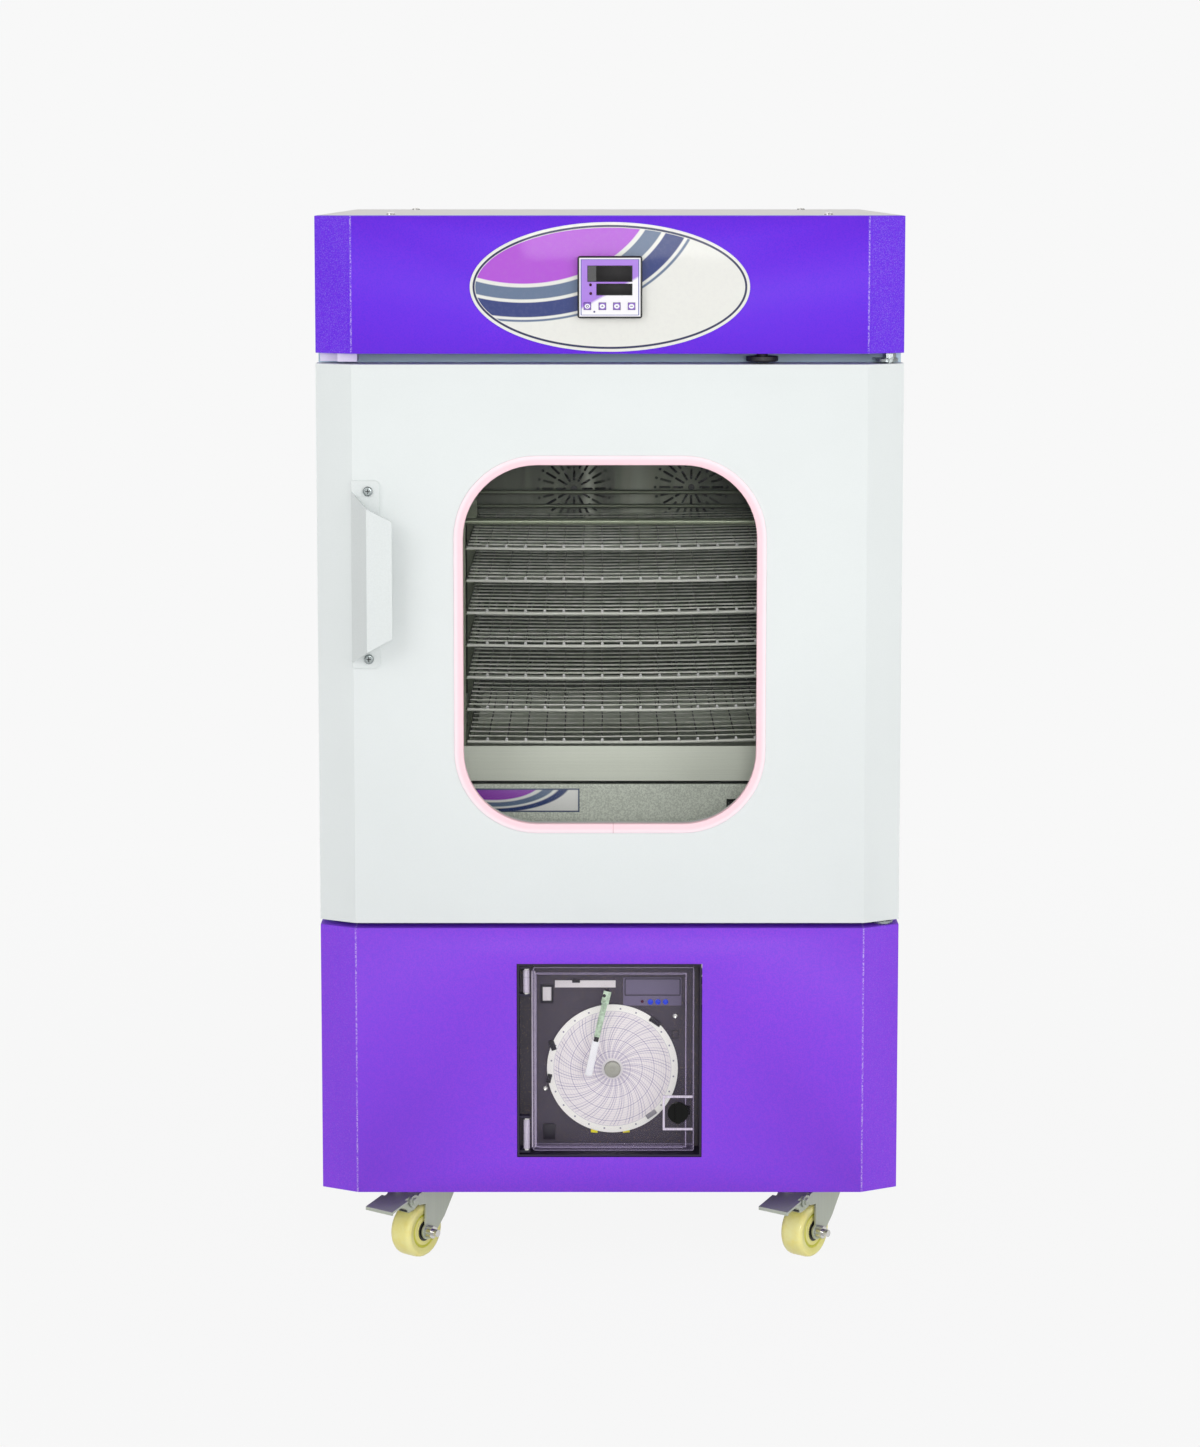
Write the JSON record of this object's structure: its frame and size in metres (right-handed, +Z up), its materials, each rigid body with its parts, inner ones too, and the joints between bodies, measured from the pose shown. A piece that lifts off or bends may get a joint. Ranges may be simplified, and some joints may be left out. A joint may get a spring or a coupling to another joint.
{
  "type": "platelet agitator",
  "caption": "Floor-standing platelet incubator cabinet on casters: glazed insulated door, wire shelves in a rocking rack, chart recorder and controller.",
  "frame": {"origin": "on the floor under the centre of the bounding box", "axes": "+Z up, -Y out of the door, +X to the right of a person facing the door"},
  "size_m": [0.66, 0.734, 1.21],
  "materials": {
    "purple_paint": "satin",
    "door_paint": "satin",
    "casing_paint": "satin",
    "slate_trim": "matte",
    "white_trim": "satin",
    "zinc_steel": "satin",
    "caster_zinc": "satin",
    "wheel_nylon": "satin",
    "stainless": "satin",
    "shelf_wire": "polished",
    "base_grey": "matte",
    "frame_paint": "matte",
    "foam": "matte",
    "fin_aluminium": "satin",
    "inner_door": "satin",
    "window_glass": "polished",
    "gasket_pink": "matte",
    "seal_grey": "matte",
    "badge_face": "satin",
    "black_plastic": "satin",
    "key_white": "satin",
    "recorder_grey": "satin",
    "clear_cover": "gloss",
    "chart_paper": "matte",
    "pen_plastic": "satin"
  },
  "bodies": {
    "cabinet": {"side_panels": "casing_paint", "back_panel": "casing_paint", "roof_cover": "casing_paint", "panel_screws": "zinc_steel", "head_fascia": "purple_paint", "lower_fascia": "purple_paint", "badge_plate": "badge_face", "hinge_brackets": "zinc_steel", "head_stops": "white_trim", "front_frame": "slate_trim", "chamber_liner": "stainless", "insulation": "foam", "duct_panel": "stainless", "air_cooler": "fin_aluminium", "base_frame": "frame_paint", "compressor_unit": "frame_paint", "power_inlet": "black_plastic", "controller_case": "black_plastic", "agitator_base": "base_grey", "agitator_drive": "zinc_steel", "recorder_case": "recorder_grey", "caster_plates": "zinc_steel"},
    "door": {"door_skin": "door_paint", "door_liner": "inner_door", "window_panes": "window_glass", "window_gasket": "gasket_pink", "door_seal": "seal_grey", "door_handle": "door_paint", "handle_screws": "zinc_steel"},
    "rack": {"rack_frame": "shelf_wire", "rack_tray": "stainless"},
    "crank": {"crank_disc": "zinc_steel"},
    "rocker": {"power_rocker": "black_plastic"},
    "fan_left": {"fan_rotor_left": "black_plastic"},
    "fan_right": {"fan_rotor_right": "black_plastic"},
    "recorder_lid": {"recorder_cover": "clear_cover"},
    "lid_latch": {"recorder_latch": "black_plastic"},
    "chart": {"chart_disc": "chart_paper"},
    "pen": {"pen_arm": "pen_plastic"},
    "shelf_1": {"wire_shelf_1": "shelf_wire"},
    "shelf_2": {"wire_shelf_2": "shelf_wire"},
    "shelf_3": {"wire_shelf_3": "shelf_wire"},
    "shelf_4": {"wire_shelf_4": "shelf_wire"},
    "shelf_5": {"wire_shelf_5": "shelf_wire"},
    "shelf_6": {"wire_shelf_6": "shelf_wire"},
    "shelf_7": {"wire_shelf_7": "shelf_wire"},
    "key_1": {"controller_key_1": "key_white"},
    "key_2": {"controller_key_2": "key_white"},
    "key_3": {"controller_key_3": "key_white"},
    "key_4": {"controller_key_4": "key_white"},
    "fork_front_left": {"caster_fork_front_left": "caster_zinc"},
    "wheel_front_left": {"caster_wheel_front_left": "wheel_nylon"},
    "pedal_front_left": {"brake_pedal_front_left": "caster_zinc"},
    "fork_rear_left": {"caster_fork_rear_left": "caster_zinc"},
    "wheel_rear_left": {"caster_wheel_rear_left": "wheel_nylon"},
    "fork_front_right": {"caster_fork_front_right": "caster_zinc"},
    "wheel_front_right": {"caster_wheel_front_right": "wheel_nylon"},
    "pedal_front_right": {"brake_pedal_front_right": "caster_zinc"},
    "fork_rear_right": {"caster_fork_rear_right": "caster_zinc"},
    "wheel_rear_right": {"caster_wheel_rear_right": "wheel_nylon"}
  },
  "joints": [
    {"name": "door_hinge", "type": "hinge", "parent": "cabinet", "child": "door", "pos_m": [0.314, -0.304, 0.728], "axis": [0, 0, 1], "range_deg": [0, 110]},
    {"name": "rack_rock", "type": "slide", "parent": "cabinet", "child": "rack", "axis": [1, 0, 0], "range_m": [-0.019, 0.019]},
    {"name": "crank_turn", "type": "hinge", "parent": "cabinet", "child": "crank", "pos_m": [0.014, 0.01, 0.535], "axis": [0, 0, 1], "continuous": true},
    {"name": "rocker_tilt", "type": "hinge", "parent": "cabinet", "child": "rocker", "pos_m": [0.1515, -0.19, 0.5175], "axis": [0, 0, 1], "range_deg": [-7, 7]},
    {"name": "fan_left_spin", "type": "hinge", "parent": "cabinet", "child": "fan_left", "pos_m": [-0.0444, 0.255, 0.853], "axis": [0, 1, 0], "continuous": true},
    {"name": "fan_right_spin", "type": "hinge", "parent": "cabinet", "child": "fan_right", "pos_m": [0.1066, 0.255, 0.855], "axis": [0, 1, 0], "continuous": true},
    {"name": "lid_hinge", "type": "hinge", "parent": "cabinet", "child": "recorder_lid", "pos_m": [-0.095, -0.325, 0.25125], "axis": [0, 0, -1], "range_deg": [0, 100]},
    {"name": "latch_turn", "type": "hinge", "parent": "recorder_lid", "child": "lid_latch", "pos_m": [0.0782, -0.331, 0.1903], "axis": [0, 1, 0], "range_deg": [0, 90]},
    {"name": "chart_turn", "type": "hinge", "parent": "cabinet", "child": "chart", "pos_m": [0.0033, -0.297, 0.2317], "axis": [0, 1, 0], "continuous": true},
    {"name": "pen_swing", "type": "hinge", "parent": "cabinet", "child": "pen", "pos_m": [-0.003, -0.308, 0.3224], "axis": [0, 1, 0], "range_deg": [-6, 22]},
    {"name": "shelf_1_slide", "type": "slide", "parent": "rack", "child": "shelf_1", "axis": [0, -1, 0], "range_m": [0, 0.1157]},
    {"name": "shelf_2_slide", "type": "slide", "parent": "rack", "child": "shelf_2", "axis": [0, -1, 0], "range_m": [0, 0.1445]},
    {"name": "shelf_3_slide", "type": "slide", "parent": "rack", "child": "shelf_3", "axis": [0, -1, 0], "range_m": [0, 0.1733]},
    {"name": "shelf_4_slide", "type": "slide", "parent": "rack", "child": "shelf_4", "axis": [0, -1, 0], "range_m": [0, 0.2021]},
    {"name": "shelf_5_slide", "type": "slide", "parent": "rack", "child": "shelf_5", "axis": [0, -1, 0], "range_m": [0, 0.2309]},
    {"name": "shelf_6_slide", "type": "slide", "parent": "rack", "child": "shelf_6", "axis": [0, -1, 0], "range_m": [0, 0.2597]},
    {"name": "shelf_7_slide", "type": "slide", "parent": "rack", "child": "shelf_7", "axis": [0, -1, 0], "range_m": [0, 0.2885]},
    {"name": "key_1_press", "type": "slide", "parent": "cabinet", "child": "key_1", "axis": [0, 1, 0], "range_m": [0, 0.001], "stiffness_N_per_m": 200},
    {"name": "key_2_press", "type": "slide", "parent": "cabinet", "child": "key_2", "axis": [0, 1, 0], "range_m": [0, 0.001], "stiffness_N_per_m": 200},
    {"name": "key_3_press", "type": "slide", "parent": "cabinet", "child": "key_3", "axis": [0, 1, 0], "range_m": [0, 0.001], "stiffness_N_per_m": 200},
    {"name": "key_4_press", "type": "slide", "parent": "cabinet", "child": "key_4", "axis": [0, 1, 0], "range_m": [0, 0.001], "stiffness_N_per_m": 200},
    {"name": "swivel_front_left", "type": "hinge", "parent": "cabinet", "child": "fork_front_left", "pos_m": [-0.209, -0.24, 0.08], "axis": [0, 0, 1], "continuous": true},
    {"name": "roll_front_left", "type": "hinge", "parent": "fork_front_left", "child": "wheel_front_left", "pos_m": [-0.2258, -0.2624, 0.0315], "axis": [0.8, -0.6, 0], "continuous": true},
    {"name": "pedal_front_left_press", "type": "hinge", "parent": "fork_front_left", "child": "pedal_front_left", "pos_m": [-0.2402, -0.2816, 0.073], "axis": [0.8, -0.6, 0], "range_deg": [0, 8]},
    {"name": "swivel_rear_left", "type": "hinge", "parent": "cabinet", "child": "fork_rear_left", "pos_m": [-0.209, 0.27, 0.08], "axis": [0, 0, 1], "continuous": true},
    {"name": "roll_rear_left", "type": "hinge", "parent": "fork_rear_left", "child": "wheel_rear_left", "pos_m": [-0.2258, 0.2476, 0.0315], "axis": [0.8, -0.6, 0], "continuous": true},
    {"name": "swivel_front_right", "type": "hinge", "parent": "cabinet", "child": "fork_front_right", "pos_m": [0.245, -0.24, 0.08], "axis": [0, 0, 1], "continuous": true},
    {"name": "roll_front_right", "type": "hinge", "parent": "fork_front_right", "child": "wheel_front_right", "pos_m": [0.2282, -0.2624, 0.0315], "axis": [0.8, -0.6, 0], "continuous": true},
    {"name": "pedal_front_right_press", "type": "hinge", "parent": "fork_front_right", "child": "pedal_front_right", "pos_m": [0.2138, -0.2816, 0.073], "axis": [0.8, -0.6, 0], "range_deg": [0, 8]},
    {"name": "swivel_rear_right", "type": "hinge", "parent": "cabinet", "child": "fork_rear_right", "pos_m": [0.245, 0.27, 0.08], "axis": [0, 0, 1], "continuous": true},
    {"name": "roll_rear_right", "type": "hinge", "parent": "fork_rear_right", "child": "wheel_rear_right", "pos_m": [0.2282, 0.2476, 0.0315], "axis": [0.8, -0.6, 0], "continuous": true}
  ],
  "couplings": [
    {"joint": "shelf_1_slide", "follows": "door_hinge", "m_per_rad": 0.06},
    {"joint": "shelf_2_slide", "follows": "door_hinge", "m_per_rad": 0.075},
    {"joint": "shelf_3_slide", "follows": "door_hinge", "m_per_rad": 0.09},
    {"joint": "shelf_4_slide", "follows": "door_hinge", "m_per_rad": 0.105},
    {"joint": "shelf_5_slide", "follows": "door_hinge", "m_per_rad": 0.12},
    {"joint": "shelf_6_slide", "follows": "door_hinge", "m_per_rad": 0.135},
    {"joint": "shelf_7_slide", "follows": "door_hinge", "m_per_rad": 0.15}
  ]
}
